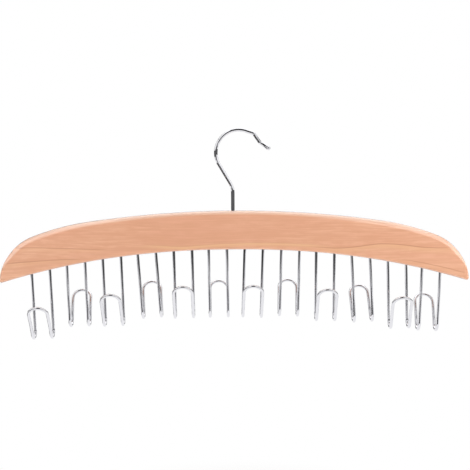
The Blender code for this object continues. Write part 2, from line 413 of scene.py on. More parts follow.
class Sheet:
    """Adds and joins the nodes of one node tree."""

    def __init__(self, tree: bpy.types.NodeTree) -> None:
        """Works on a tree."""
        self.tree = tree

    def add(self, kind: str, inputs: dict | None = None, **settings: object) -> bpy.types.Node:
        """Adds a node.

        Args:
            kind: Type of the node.
            inputs: Its sockets by name or number, each with a value or the socket that feeds it.
            **settings: Properties of the node.

        Returns:
            The node.
        """
        node = self.tree.nodes.new(kind)
        for name, value in settings.items():
            setattr(node, name, value)
        for key, value in (inputs or {}).items():
            if isinstance(value, Socket):
                self.tree.links.new(value, node.inputs[key])
            else:
                node.inputs[key].default_value = value
        return node

    def math(self, operation: str, *values: Value) -> Socket:
        """Result of a Math node."""
        return self.add("ShaderNodeMath", dict(enumerate(values)), operation=operation).outputs[0]

    def scaled(self, vector: Socket, scale: Triple) -> Socket:
        """A vector with each of its parts scaled."""
        return self.add("ShaderNodeMapping", {"Vector": vector, "Scale": scale}).outputs["Vector"]

    def noise(self, vector: Socket, **inputs: Value) -> Socket:
        """A noise value from 0 to 1, its sockets given by their names in small letters."""
        found = {name.title(): value for name, value in inputs.items()}
        return self.add("ShaderNodeTexNoise", {"Vector": vector, **found}).outputs["Fac"]

    def mix(self, share: Value, first: Socket | Colour, second: Socket | Colour) -> Socket:
        """A colour between two, by a share."""
        inputs = {0: share, 6: first, 7: second}
        return self.add("ShaderNodeMix", inputs, data_type="RGBA").outputs[2]

    def stretch(
        self, value: Value, low: float, high: float, to_low: Value, to_high: Value,
    ) -> Socket:
        """A value mapped smoothly from one range to another, held at its ends."""
        inputs = {0: value, 1: low, 2: high, 3: to_low, 4: to_high}
        return self.add("ShaderNodeMapRange", inputs, interpolation_type="SMOOTHSTEP").outputs[0]

    def place(self) -> Socket:
        """The place on the object, in metres."""
        return self.add("ShaderNodeTexCoord").outputs["Object"]

    def finish(
        self, colour: Socket, rough: Socket, height: Socket, depth: float, gloss: Settings,
    ) -> None:
        """Joins a finish to the surface's shader.

        Args:
            colour: Its colour.
            rough: Its roughness.
            height: Its relief, as a share.
            depth: How deep that relief is.
            gloss: Constant values of the shader's other sockets.
        """
        shader = self.tree.nodes["Principled BSDF"]
        relief = self.add("ShaderNodeBump", {"Height": height, "Distance": depth})
        found = {"Base Color": colour, "Roughness": rough, "Normal": relief.outputs["Normal"]}
        for name, socket in found.items():
            self.tree.links.new(socket, shader.inputs[name])
        for name, value in gloss:
            shader.inputs[name].default_value = value


def new_material(name: str) -> tuple[bpy.types.Material, Sheet]:
    """Starts a material.

    Args:
        name: Its name.

    Returns:
        The material, and the sheet of its nodes.
    """
    material = bpy.data.materials.new(name)
    material.use_nodes = True
    return material, Sheet(material.node_tree)


def new_group(name: str, inputs: dict[str, str], outputs: dict[str, str]) -> bpy.types.NodeTree:
    """Makes an empty shader node group.

    Args:
        name: Name of the group.
        inputs: Kind of each input by its name, such as Float or Vector.
        outputs: Kind of each output by its name.

    Returns:
        The group.
    """
    group = bpy.data.node_groups.new(name, "ShaderNodeTree")
    for in_out, sockets in (("INPUT", inputs), ("OUTPUT", outputs)):
        for socket, kind in sockets.items():
            group.interface.new_socket(socket, in_out=in_out, socket_type=f"NodeSocket{kind}")
    return group


@dataclass(frozen=True)
class HandlingMarks:
    """Faint smears and dust, which every finish has.

    Attributes:
        smear_noise: Settings of the noise that places the smears.
        smear_mask: Which of its values are smears.
        dust_noise: Settings of the noise that places the dust.
        dust_mask: Which of its values are dust.
        dust_scale: How much finer the dust is than the smears.
    """

    smear_noise: Settings = (("detail", 4.0), ("roughness", 0.55), ("distortion", 0.6))
    smear_mask: Mask = (0.42, 0.72, 0.0, 1.0)
    dust_noise: Settings = (("detail", 2.0), ("roughness", 0.6))
    dust_mask: Mask = (0.62, 0.78, 0.0, 1.0)
    dust_scale: float = 14.0

    def group(self) -> bpy.types.NodeTree:
        """Makes the node group.

        Returns:
            A group with a Position in metres, a Scale in smears per metre, and two masks.
        """
        inputs = {"Position": "Vector", "Scale": "Float"}
        group = new_group("handling_marks", inputs, {"Smears": "Float", "Dust": "Float"})
        sheet = Sheet(group)
        given = sheet.add("NodeGroupInput").outputs
        smears = sheet.noise(given["Position"], scale=given["Scale"], **dict(self.smear_noise))
        fine = sheet.math("MULTIPLY", given["Scale"], self.dust_scale)
        dust = sheet.noise(given["Position"], scale=fine, **dict(self.dust_noise))
        masks = {
            "Smears": sheet.stretch(smears, *self.smear_mask),
            "Dust": sheet.stretch(dust, *self.dust_mask),
        }
        sheet.add("NodeGroupOutput", masks)
        return group


@dataclass(frozen=True)
class Figure:
    """Noise drawn out along the bar, as the figure of wood is.

    Attributes:
        scale: Its features per metre along, through and up the bar.
        detail: Depth of its fine detail.
    """

    scale: Triple
    detail: float

    def noise(self, sheet: Sheet, position: Socket) -> Socket:
        """Its value at a position, from 0 to 1."""
        return sheet.noise(sheet.scaled(position, self.scale), scale=1.0, detail=self.detail)


@dataclass(frozen=True)
class GrowthPattern:
    """How every growth line is drawn, where the dark late wood of a year meets the next.

    Attributes:
        hump_narrowness: How soon the hump in a line's middle falls away.
        wander: How the line strays.
        wander_height: How far it strays.
        end_mask: Where it fades towards its ends, as a share of its reach.
        line_mask: How dark it is across its thickness.
        band_mask: How pale the band is down its fade.
        cut_mask: Where the band ends at the line.
    """

    hump_narrowness: float = 5.7
    wander: Figure = Figure((26.0, 30.0, 40.0), 3.0)
    wander_height: float = 0.0024
    end_mask: Mask = (0.6, 1.05, 1.0, 0.0)
    line_mask: Mask = (0.0, 1.0, 1.0, 0.0)
    band_mask: Mask = (-1.0, 0.0, 0.0, 1.0)
    cut_mask: Mask = (-0.6, 0.6, 1.0, 0.0)

    def group(self) -> bpy.types.NodeTree:
        """Makes the node group of one growth line.

        Returns:
            A group that puts out the thin Line and the paler Band that fades away below it.
        """
        sizes = ("Middle", "Reach", "Height", "Tilt", "Swell", "Thickness", "Fade")
        inputs = {"Position": "Vector", **dict.fromkeys(sizes, "Float")}
        group = new_group("growth_line", inputs, {"Line": "Float", "Band": "Float"})
        sheet = Sheet(group)
        given = sheet.add("NodeGroupInput").outputs
        apart = sheet.add("ShaderNodeSeparateXYZ", {0: given["Position"]}).outputs
        along = sheet.math("SUBTRACT", apart["X"], given["Middle"])
        share = sheet.math("DIVIDE", along, given["Reach"])

        square = sheet.math("MULTIPLY", share, share)
        hump = sheet.math("EXPONENT", sheet.math("MULTIPLY", square, -self.hump_narrowness))
        level = sheet.math("MULTIPLY_ADD", hump, given["Swell"], given["Height"])
        level = sheet.math("MULTIPLY_ADD", along, given["Tilt"], level)
        stray = sheet.math("SUBTRACT", self.wander.noise(sheet, given["Position"]), 0.5)
        level = sheet.math("MULTIPLY_ADD", stray, self.wander_height, level)

        above = sheet.math("SUBTRACT", apart["Z"], level)
        upper = sheet.math("DIVIDE", above, given["Thickness"])
        lower = sheet.math("DIVIDE", above, given["Fade"])
        near = sheet.stretch(sheet.math("ABSOLUTE", share), *self.end_mask)
        line = sheet.stretch(sheet.math("ABSOLUTE", upper), *self.line_mask)
        under = sheet.stretch(lower, *self.band_mask)
        cut = sheet.stretch(upper, *self.cut_mask)
        masks = {
            "Line": sheet.math("MULTIPLY", line, near),
            "Band": sheet.math("MULTIPLY", sheet.math("MULTIPLY", under, cut), near),
        }
        sheet.add("NodeGroupOutput", masks)
        return group


@dataclass(frozen=True)
class GrowthLine:
    """Where one growth line runs on the bar, from the middle of the bar's top.

    Attributes:
        middle: How far to the right its middle is.
        reach: Half its length.
        height: Its height in the middle, without its hump.
        tilt: Its rise per length to the right.
        swell: Height of the hump in its middle.
        darkness: How dark the line is, as a share.
        paleness: How pale the band below it is, as a share.
        fade: How far down that band fades.
        thickness: Half the line's thickness.
    """

    middle: float
    reach: float
    height: float
    tilt: float
    swell: float
    darkness: float
    paleness: float
    fade: float = 0.005
    thickness: float = 0.0007

    def masks(
        self, sheet: Sheet, position: Socket, group: bpy.types.NodeTree,
    ) -> tuple[Socket, Socket]:
        """Draws the line.

        Args:
            sheet: The nodes of the wood.
            position: Where the wood is, from the middle of the bar's top.
            group: The group of one growth line.

        Returns:
            How much of the line's and of the band's colour shows.
        """
        inputs = {
            "Position": position, "Middle": self.middle, "Reach": self.reach,
            "Height": self.height, "Tilt": self.tilt, "Swell": self.swell,
            "Thickness": self.thickness, "Fade": self.fade,
        }
        drawn = sheet.add("ShaderNodeGroup", inputs, node_tree=group).outputs
        line = sheet.math("MULTIPLY", drawn["Line"], self.darkness)
        return line, sheet.math("MULTIPLY", drawn["Band"], self.paleness)


@dataclass(frozen=True)
class WoodFinish:
    """Pale reddish wood with a fine straight grain under clear satin lacquer.

    Attributes:
        early: Colour of the wood between the grain lines.
        late: Colour of the grain lines.
        line: Colour of the growth lines.
        rosy: Colour of the redder patches.
        yellow: Colour of the pale bands under the growth lines.
        edge_highlight: Colour along the rounded top edge, a painted highlight: paler, whiter wood
            where the rounding faces up to the light.
        sway: How the grain sways up and down along the bar.
        sway_height: How far it sways.
        broad: The broad streaks of the grain.
        fine: Its fine streaks.
        fine_share: Share of the fine streaks, the rest being the broad ones.
        streak_mask: Where the streaks turn to late wood.
        patches: The redder patches.
        patch_mask: Where they are red.
        core_middle: How far to the right of the middle the wood is reddest.
        core_mask: How much redder it is at a distance from there.
        dashes: Short dashes on the grain.
        dash_mask: Where they turn to late wood.
        fleck_scale: Flecks per metre along, through and up the bar.
        fleck_mask: How dark a fleck is at a distance from its middle.
        lines: The growth lines that cross the bar.
        marks_scale: Smears per metre.
        roughness: Roughness of the lacquer.
        smeared: Roughness added where it is smeared.
        grain_depth: How far the fine grain shows through the lacquer as relief.
        grain_rise: Height of the fine streaks, as a share of that.
        fleck_sink: Depth of the flecks, as a share of that.
        gloss: Constant values of the shader's sockets for the lacquer.
    """

    early: Colour = (0.800, 0.438, 0.282, 1.0)
    late: Colour = (0.690, 0.342, 0.202, 1.0)
    line: Colour = (0.540, 0.230, 0.125, 1.0)
    rosy: Colour = (0.755, 0.380, 0.242, 1.0)
    yellow: Colour = (0.800, 0.480, 0.262, 1.0)
    # Painted highlight: a paler, whiter wood colour that stands in for the light on the top
    # rounding
    edge_highlight: Colour = (0.840, 0.520, 0.370, 1.0)
    sway: Figure = Figure((7.0, 20.0, 26.0), 2.0)
    sway_height: float = 0.012
    broad: Figure = Figure((9.0, 120.0, 260.0), 3.0)
    fine: Figure = Figure((30.0, 500.0, 640.0), 4.0)
    fine_share: float = 0.65
    streak_mask: Mask = (0.34, 0.66, 0.0, 1.0)
    patches: Figure = Figure((11.0, 40.0, 75.0), 3.0)
    patch_mask: Mask = (0.36, 0.80, 0.0, 1.0)
    core_middle: float = -0.012
    core_mask: Mask = (0.02, 0.13, 0.22, 0.0)
    dashes: Figure = Figure((95.0, 260.0, 420.0), 3.0)
    dash_mask: Mask = (0.38, 0.70, 0.0, 0.65)
    fleck_scale: Triple = (170.0, 900.0, 1300.0)
    fleck_mask: Mask = (0.10, 0.22, 0.35, 0.0)
    lines: tuple[GrowthLine, ...] = (
        # Middle, reach, height, tilt, swell, darkness, paleness, fade and thickness
        GrowthLine(-0.166, 0.055, -0.0343, 0.00, 0.0, 0.90, 0.25),
        GrowthLine(-0.178, 0.040, -0.0468, 0.04, 0.0, 0.95, 0.30),
        GrowthLine(0.000, 0.095, -0.0312, 0.00, 0.0010, 0.25, 0.85, 0.0042),
        GrowthLine(0.138, 0.072, -0.0355, -0.03, 0.0050, 1.0, 0.45, 0.008, 0.0008),
        GrowthLine(0.186, 0.032, -0.0530, -0.19, 0.0, 0.80, 0.20, 0.004),
    )
    marks_scale: float = 34.0
    roughness: float = 0.36
    smeared: float = 0.07
    grain_depth: float = 0.00003
    grain_rise: float = 0.8
    fleck_sink: float = 1.2
    gloss: Settings = (
        ("Coat Weight", 1.0), ("Coat Roughness", 0.16), ("Coat IOR", 2.3),
        ("Sheen Weight", 0.2), ("Sheen Roughness", 0.35),
    )

    def _swaying(self, sheet: Sheet, position: Socket) -> Socket:
        """Bends straight positions along the sway of the grain.

        Args:
            sheet: The nodes of the wood.
            position: Where the wood is.

        Returns:
            The same place before the grain swayed.
        """
        stray = sheet.math("SUBTRACT", self.sway.noise(sheet, position), 0.5)
        lift = sheet.math("MULTIPLY", stray, self.sway_height)
        raised = sheet.add("ShaderNodeCombineXYZ", {"Z": lift}).outputs[0]
        return sheet.add("ShaderNodeVectorMath", {0: position, 1: raised}).outputs[0]

    def _grain(self, sheet: Sheet, position: Socket, flowing: Socket, fine: Socket) -> Socket:
        """Colours the redder patches, the streaks and the dashes.

        Args:
            sheet: The nodes of the wood.
            position: Where the wood is.
            flowing: The same, along the sway of the grain.
            fine: The fine streaks.

        Returns:
            The colour.
        """
        broad = sheet.math("MULTIPLY", self.broad.noise(sheet, flowing), 1 - self.fine_share)
        streaks = sheet.math("MULTIPLY_ADD", fine, self.fine_share, broad)
        across = sheet.add("ShaderNodeSeparateXYZ", {0: position}).outputs["X"]
        away = sheet.math("ABSOLUTE", sheet.math("SUBTRACT", across, self.core_middle))
        core = sheet.stretch(away, *self.core_mask)
        patches = sheet.math("ADD", self.patches.noise(sheet, position), core)
        colour = sheet.mix(sheet.stretch(patches, *self.patch_mask), self.early, self.rosy)
        colour = sheet.mix(sheet.stretch(streaks, *self.streak_mask), colour, self.late)
        dashes = sheet.stretch(self.dashes.noise(sheet, flowing), *self.dash_mask)
        return sheet.mix(dashes, colour, self.late)

    def material(self, middle: Vector, marks: bpy.types.NodeTree) -> bpy.types.Material:
        """Builds the material.

        Args:
            middle: Middle of the bar's top, from which the grain is placed.
            marks: The group of smears and dust.

        Returns:
            The material.
        """
        material, sheet = new_material("lacquered_wood")
        centred = {"Vector": sheet.place(), "Location": -middle}
        position = sheet.add("ShaderNodeMapping", centred).outputs["Vector"]
        flowing = self._swaying(sheet, position)
        fine = self.fine.noise(sheet, flowing)
        colour = self._grain(sheet, position, flowing, fine)

        group = GrowthPattern().group()
        for growth in self.lines:
            line, band = growth.masks(sheet, flowing, group)
            colour = sheet.mix(band, colour, self.yellow)
            colour = sheet.mix(line, colour, self.line)

        cells = {"Vector": sheet.scaled(flowing, self.fleck_scale), "Scale": 1.0}
        apart = sheet.add("ShaderNodeTexVoronoi", cells).outputs["Distance"]
        fleck = sheet.stretch(apart, *self.fleck_mask)
        colour = sheet.mix(fleck, colour, self.late)
        # Painted highlight: the top rounding is mixed towards the paler colour where its surface
        # faces up
        edge = sheet.add("ShaderNodeAttribute", attribute_name=TOP_HIGHLIGHT).outputs["Fac"]
        colour = sheet.mix(edge, colour, self.edge_highlight)

        inputs = {"Position": position, "Scale": self.marks_scale}
        smears = sheet.add("ShaderNodeGroup", inputs, node_tree=marks).outputs["Smears"]
        rough = sheet.math("MULTIPLY_ADD", smears, self.smeared, self.roughness)
        height = sheet.math("MULTIPLY", fine, self.grain_rise)
        height = sheet.math("MULTIPLY_ADD", fleck, -self.fleck_sink, height)
        sheet.finish(colour, rough, height, self.grain_depth, self.gloss)
        return material


@dataclass(frozen=True)
class MetalFinish:
    """A plated metal with a faintly uneven surface, smears and dust.

    Attributes:
        name: Name of the material.
        colour: Colour of the plate.
        dull: Colour where dust and smears dull it.
        roughness: Roughness where it is clean.
        smeared: Roughness added where it is smeared.
        grain: Number of grains per metre in the surface's own unevenness.
        depth: Height of that unevenness.
        grain_detail: Depth of its fine detail.
        marks_scale: Smears per metre.
        dust_share: How much of the dull colour dust brings.
        smear_share: How much of it smears bring.
    """

    name: str
    colour: Colour
    dull: Colour
    roughness: float
    smeared: float
    grain: float
    depth: float
    grain_detail: float = 2.0
    marks_scale: float = 160.0
    dust_share: float = 0.35
    smear_share: float = 0.5

    def material(self, marks: bpy.types.NodeTree) -> bpy.types.Material:
        """Builds the material.

        Args:
            marks: The group of smears and dust.

        Returns:
            The material.
        """
        material, sheet = new_material(self.name)
        place = sheet.place()
        inputs = {"Position": place, "Scale": self.marks_scale}
        wear = sheet.add("ShaderNodeGroup", inputs, node_tree=marks).outputs
        dulled = sheet.math("MULTIPLY", wear["Smears"], self.smear_share)
        dulled = sheet.math("MULTIPLY_ADD", wear["Dust"], self.dust_share, dulled)
        colour = sheet.mix(dulled, self.colour, self.dull)
        rough = sheet.math("MULTIPLY_ADD", wear["Smears"], self.smeared, self.roughness)
        uneven = sheet.noise(place, scale=self.grain, detail=self.grain_detail)
        sheet.finish(colour, rough, uneven, self.depth, (("Metallic", 1.0),))
        return material


CHROME_PLATE = MetalFinish(
    "chrome_plate", colour=(0.80, 0.797, 0.83, 1.0), dull=(0.76, 0.758, 0.785, 1.0),
    roughness=0.03, smeared=0.035, grain=700.0, depth=0.00001,
)
ZINC_PLATE = MetalFinish(
    "zinc_plate", colour=(0.48, 0.49, 0.50, 1.0), dull=(0.36, 0.37, 0.38, 1.0),
    roughness=0.32, smeared=0.14, grain=2500.0, depth=0.00003,
)


# Pieces


@dataclass
class BoredHole:
    """A round blind hole, drilled and slightly countersunk at its mouth.

    Attributes:
        radius: Radius of the hole.
        depth: Its depth from the surface.
        countersink: How much wider its mouth is, and how deep that goes.
        overrun: How far its cutter stands out of the surface.
        sides: Number of its sides.
    """

    radius: float
    depth: float
    countersink: float
    overrun: float = 0.004
    sides: int = 32

    def cutter(self, place: Matrix) -> BMesh:
        """Makes the solid that cuts the hole.

        Args:
            place: Matrix that brings the origin to the hole's mouth and -Z into it.

        Returns:
            The cutter.
        """
        mouth = self.radius + self.countersink
        pen = wire_pen(mouth, self.sides, Vector((0.0, self.overrun)), DOWN)
        pen.push(self.overrun).push(self.countersink).swell(self.radius / mouth)
        pen.push(self.depth - self.countersink).close()
        pen.shape.transform(place)
        return pen.shape


@dataclass
class BeltWires:
    """The row of belt wires, each a hairpin of round wire whose closed end is bent into a J.

    Attributes:
        diameter: Diameter of the wire.
        spacing: Distance between a wire's two legs.
        inset: Depth of the legs in the bar.
        drop: How far a wire hangs below the bar.
        bend_radius: Radius of the J.
        arm_lean: Angle between the arm and the legs.
        arm_flare: Angle by which the arm opens on its way up.
        arm_length: Length of the arm up to its arch.
        side_offset: How far the row stands to the right of the bar's middle.
        end_margin: Distance from the bar's ends to the first and last wires.
        shift_shares: Each wire's stray to the right, as a share of the pitch.
        lean_degrees: Each wire's lean, its foot to the right where positive.
        drop_shares: Each wire's drop, as a share of the usual one.
        sides: Number of sides of the wire.
        end_chamfer: Chamfer of the legs' ends.
        bend_steps: Number of steps round the J.
        arm_steps: Number of steps up the arm.
        arch_steps: Number of steps round the arch.
        bore_room: Gap round a leg in its bore.
        bore_floor: Room below a leg's end in its bore.
        bore_countersink: How much wider a bore's mouth is.
    """

    diameter: float = 0.0028
    spacing: float = 0.017
    inset: float = 0.014
    drop: float = 0.0622
    bend_radius: float = 0.0067
    arm_lean: float = math.radians(22.0)
    arm_flare: float = math.radians(18.0)
    arm_length: float = 0.0224
    side_offset: float = 0.0016
    end_margin: float = 0.0357
    shift_shares: tuple[float, ...] = (
        0.0, -0.01, 0.0, -0.02, 0.0, -0.02, 0.0, 0.03, 0.01, 0.01, 0.03, 0.0,
    )
    lean_degrees: tuple[float, ...] = (
        2.5, 2.1, 2.0, 4.2, 1.2, 0.9, -2.0, -1.6, -0.6, 2.9, 1.4, -2.3,
    )
    drop_shares: tuple[float, ...] = (
        1.0, 0.97, 1.02, 1.0, 1.01, 1.05, 1.02, 1.02, 1.02, 1.01, 0.98, 0.94,
    )
    sides: int = 24
    end_chamfer: float = 0.0003
    bend_steps: int = 26
    arm_steps: int = 10
    arch_steps: int = 30
    bore_room: float = 0.00006
    bore_floor: float = 0.0006
    bore_countersink: float = 0.00025

    def places(self, bar: "WoodenBar") -> list[Matrix]:
        """Finds where the wires stand.

        Args:
            bar: The bar that carries them.

        Returns:
            For each wire a matrix from its own frame, whose origin is its middle at the
            bar's underside and whose open side is the front.
        """
        gaps = len(self.lean_degrees) - 1
        pitch = (bar.length - 2 * self.end_margin) / gaps
        found = []
        for index, (shift, lean) in enumerate(zip(self.shift_shares, self.lean_degrees)):
            x = self.side_offset + pitch * (index - gaps / 2 + shift)
            facing = Facing.BACK if index % 2 else Facing.FRONT
            spot = Matrix.Translation((x, 0.0, bar.underside_height(x)))
            leaning = Matrix.Rotation(-math.radians(lean), 4, "Y")
            found.append(bar.place() @ spot @ leaning @ Matrix.Rotation(facing.value, 4, "Z"))
        return found

    def holes(self, bar: "WoodenBar") -> list[BMesh]:
        """Makes the cutters of the bores that the legs are pressed into.

        Args:
            bar: The bar that they are drilled in.

        Returns:
            One cutter for each leg.
        """
        radius, depth = self.diameter / 2 + self.bore_room, self.inset + self.bore_floor
        hole = BoredHole(radius, depth, self.bore_countersink)
        upside_down = Matrix.Rotation(math.pi, 4, "X")
        found = []
        for place in self.places(bar):
            for side in (-1, 1):
                leg = Matrix.Translation((side * self.spacing / 2, 0.0, 0.0))
                found.append(hole.cutter(place @ leg @ upside_down))
        return found

    def _hairpin(self, drop: float) -> tuple[BMesh, Run]:
        """Makes one wire before its J is bent.

        Args:
            drop: How far this wire hangs below the bar.

        Returns:
            The flat hairpin, legs up, and the run along which it is then bent.
        """
        radius, half = self.diameter / 2, self.spacing / 2
        leg = self.inset + drop - self.bend_radius - radius
        curl = Move.bend(self.bend_radius, math.pi - self.arm_lean)
        arm = Move(self.arm_length + half, -self.arm_flare)
        pen = wire_pen(radius - self.end_chamfer, self.sides, Vector((half, 0.0)), DOWN)
        pen.push(self.end_chamfer).swell(radius / (radius - self.end_chamfer))
        pen.push(leg - self.end_chamfer).push(curl.length, self.bend_steps)
        pen.push(self.arm_length, self.arm_steps).turn(half, -math.pi, self.arch_steps)
        pen.push(self.arm_length, self.arm_steps).push(curl.length, self.bend_steps)
        pen.push(leg - self.end_chamfer).push(self.end_chamfer)
        pen.swell((radius - self.end_chamfer) / radius).close()
        beyond = Move(self.diameter, -self.arm_flare * self.diameter / arm.length)
        return pen.shape, Run([Move(leg), curl, arm, beyond], DOWN)

    def _bend(self, shape: BMesh, run: Run) -> None:
        """Bends a flat hairpin along its run, each slice staying square to it.

        Args:
            shape: The hairpin, whose height below zero is the length along the run.
            run: The run, drawn in the plane across the bar.
        """
        for vertex in shape.verts:
            spot, heading = run.at(-vertex.co.z)
            spot -= vertex.co.y * left_of(way_of(heading))
            vertex.co = (vertex.co.x, -spot.x, self.inset + spot.y)

    def build(self, bar: "WoodenBar", chrome: bpy.types.Material) -> None:
        """Makes every belt wire.

        Args:
            bar: The bar that carries them.
            chrome: Their finish.
        """
        for number, (place, share) in enumerate(zip(self.places(bar), self.drop_shares), start=1):
            shape, run = self._hairpin(self.drop * share)
            self._bend(shape, run)
            shape.transform(place)
            node = f"belt_wire_{number:02d}"
            show(finished_mesh(shape, node), node, Body.HANGER, chrome)


@dataclass
class HookSleeve:
    """The barbed sleeve in the bar's top in which the hook turns.

    Attributes:
        swivel: Point where the swivel's axis leaves the bar's top.
        length: Length of the sleeve.
        bore: Radius of its bore.
        core: Radius between its barbs.
        barb: Radius of its collar and its barbs.
        collar: Height of its collar.
        barb_length: Length of a barb.
        barbs: Number of its barbs.
        recess: How far its top lies below the bar's.
        floor_room: Room below it in its bore.
        bore_room: Gap round its barbs in its bore.
        bore_countersink: How much wider its bore's mouth is.
        rim_round: Rounding of the two rims of its top.
        rim_steps: Number of steps of that rounding.
        steps: Number of its sides.
    """

    swivel: Vector
    length: float = 0.014
    bore: float = 0.00197
    core: float = 0.0028
    barb: float = 0.0032
    collar: float = 0.0016
    barb_length: float = 0.0028
    barbs: int = 3
    recess: float = 0.0004
    floor_room: float = 0.0035
    bore_room: float = 0.00008
    bore_countersink: float = 0.00025
    rim_round: float = 0.00022
    rim_steps: int = 3
    steps: int = 48

    def hole(self) -> BMesh:
        """Makes the cutter of the bore that the sleeve is pressed into.

        Returns:
            The cutter, in the frame's own axes.
        """
        depth = self.recess + self.length + self.floor_room
        hole = BoredHole(self.barb + self.bore_room, depth, self.bore_countersink)
        return hole.cutter(Matrix.Translation(self.swivel))

    def _section(self) -> list[tuple[float, float]]:
        """Draws the sleeve's half section.

        Returns:
            The radius and the height of each corner, down its outer side.
        """
        section = [(self.bore, 0.0), (self.barb, 0.0), (self.barb, -self.collar)]
        section.append((self.core, -self.collar))
        land = (self.length - self.collar - self.barbs * self.barb_length) / (self.barbs + 1)
        for ring in range(self.barbs):
            top = -self.collar - land - ring * (self.barb_length + land)
            section += [(self.core, top), (self.barb, top), (self.core, top - self.barb_length)]
        return section + [(self.core, -self.length), (self.bore, -self.length)]

    def build(self, zinc: bpy.types.Material) -> None:
        """Makes the sleeve.

        Args:
            zinc: Its finish.
        """
        shape = bmesh.new()
        corners = [shape.verts.new((radius, 0.0, height)) for radius, height in self._section()]
        edges = [shape.edges.new(pair) for pair in zip(corners, corners[1:] + corners[:1])]
        bmesh.ops.spin(
            shape, geom=corners + edges, cent=(0.0, 0.0, 0.0), axis=(0.0, 0.0, 1.0),
            angle=2 * math.pi, steps=self.steps, use_merge=True,
        )
        bmesh.ops.recalc_face_normals(shape, faces=shape.faces)
        rims = [edge for edge in shape.edges if self._is_rim(edge)]
        bmesh.ops.bevel(
            shape, geom=rims, offset=self.rim_round, offset_type="OFFSET", affect="EDGES",
            segments=self.rim_steps, profile=0.5, material=-1, clamp_overlap=True,
        )
        shape.transform(Matrix.Translation(self.swivel - Vector((0.0, 0.0, self.recess))))
        mesh = finished_mesh(shape, "hook_sleeve")
        show(mesh, "hook_sleeve", Body.HANGER, zinc)

    def _is_rim(self, edge: BMEdge) -> bool:
        """Tells whether an edge is one of the two rims of the sleeve's top."""
        level = all(abs(vertex.co.z) < MERGE_DISTANCE for vertex in edge.verts)
        return level and edge.calc_face_angle(0.0) > SHARP_EDGE


@dataclass
class TopHook:
    """The hook that goes over the rail: one wire with an upset swivel head and a ball tip.

    Attributes:
        swivel: Point where its shank leaves the bar's top.
        diameter: Diameter of the wire.
        neck_rise: Height of the straight shank above the bar.
        neck_radius: Radius of the bend out of the shank.
        neck_lean: Angle of that bend.
        neck_run: Straight stretch up to the loop.
        loop_radius: Radius of the loop.
        loop_turn: Angle of the loop.
        crown_end_run: Straight stretch after the loop.
        tip_bend_radius: Radius of the two small bends near the tip.
        tip_fall_turn: Angle of the first of them, down.
        tip_run: Straight stretch between them.
        tip_lift_turn: Angle of the second, up.
        lip_run: Straight stretch to the ball's middle.
        ball_diameter: Diameter of the ball.
        head_diameter: Diameter of the swivel head.
        head_length: Length of its full part.
        head_chamfer: Its chamfers.
        head_depth: Depth of the head's top below the bar's top.
        neck_steps: Number of steps round the neck's bend.
        loop_steps: Number of steps round the loop.
        fall_steps: Number of steps round the first bend near the tip.
        lift_steps: Number of steps round the second.
        ball_steps: Number of steps over the ball.
        sides: Number of sides of the wire.
    """

    swivel: Vector
    diameter: float = 0.0033
    neck_rise: float = 0.0160
    neck_radius: float = 0.020
    neck_lean: float = math.radians(30.7)
    neck_run: float = 0.0191
    loop_radius: float = 0.0211
    loop_turn: float = math.radians(138.7)
    crown_end_run: float = 0.0065
    tip_bend_radius: float = 0.004
    tip_fall_turn: float = math.radians(37.0)
    tip_run: float = 0.0082
    tip_lift_turn: float = math.radians(21.0)
    lip_run: float = 0.0083
    ball_diameter: float = 0.0042
    head_diameter: float = 0.0052
    head_length: float = 0.0014
    head_chamfer: float = 0.0004
    head_depth: float = 0.0147
    neck_steps: int = 16
    loop_steps: int = 72
    fall_steps: int = 12
    lift_steps: int = 8
    ball_steps: int = 16
    sides: int = 32

    def build(self, chrome: bpy.types.Material) -> None:
        """Makes the hook from its head up.

        Args:
            chrome: Its finish.
        """
        radius, narrow = self.diameter / 2, self.head_diameter / 2 - self.head_chamfer
        head = self.head_length + 2 * self.head_chamfer
        start = Vector((self.swivel.x, self.swivel.z - self.head_depth - head))
        pen = wire_pen(narrow, self.sides, start, UP)
        pen.push(self.head_chamfer).swell(self.head_diameter / 2 / narrow)
        pen.push(self.head_length)
        pen.push(self.head_chamfer).swell(self.diameter / self.head_diameter)
        pen.push(self.head_depth + self.neck_rise)
        pen.turn(self.neck_radius, self.neck_lean, self.neck_steps).push(self.neck_run)
        pen.turn(self.loop_radius, -self.loop_turn, self.loop_steps).push(self.crown_end_run)
        pen.turn(self.tip_bend_radius, -self.tip_fall_turn, self.fall_steps).push(self.tip_run)
        pen.turn(self.tip_bend_radius, self.tip_lift_turn, self.lift_steps)

        ball = self.ball_diameter / 2
        neck = math.sqrt(ball**2 - radius**2)
        pen.push(self.lip_run - neck)
        angle = math.asin(radius / ball)
        step = (math.pi - angle) / (self.ball_steps + 1)
        for _ in range(self.ball_steps):
            pen.push(ball * (math.cos(angle) - math.cos(angle + step)))
            pen.swell(math.sin(angle + step) / math.sin(angle))
            angle += step
        pen.close()
        mesh = finished_mesh(pen.shape, "hook_wire")
        show(mesh, "hook_wire", Body.HOOK, chrome)


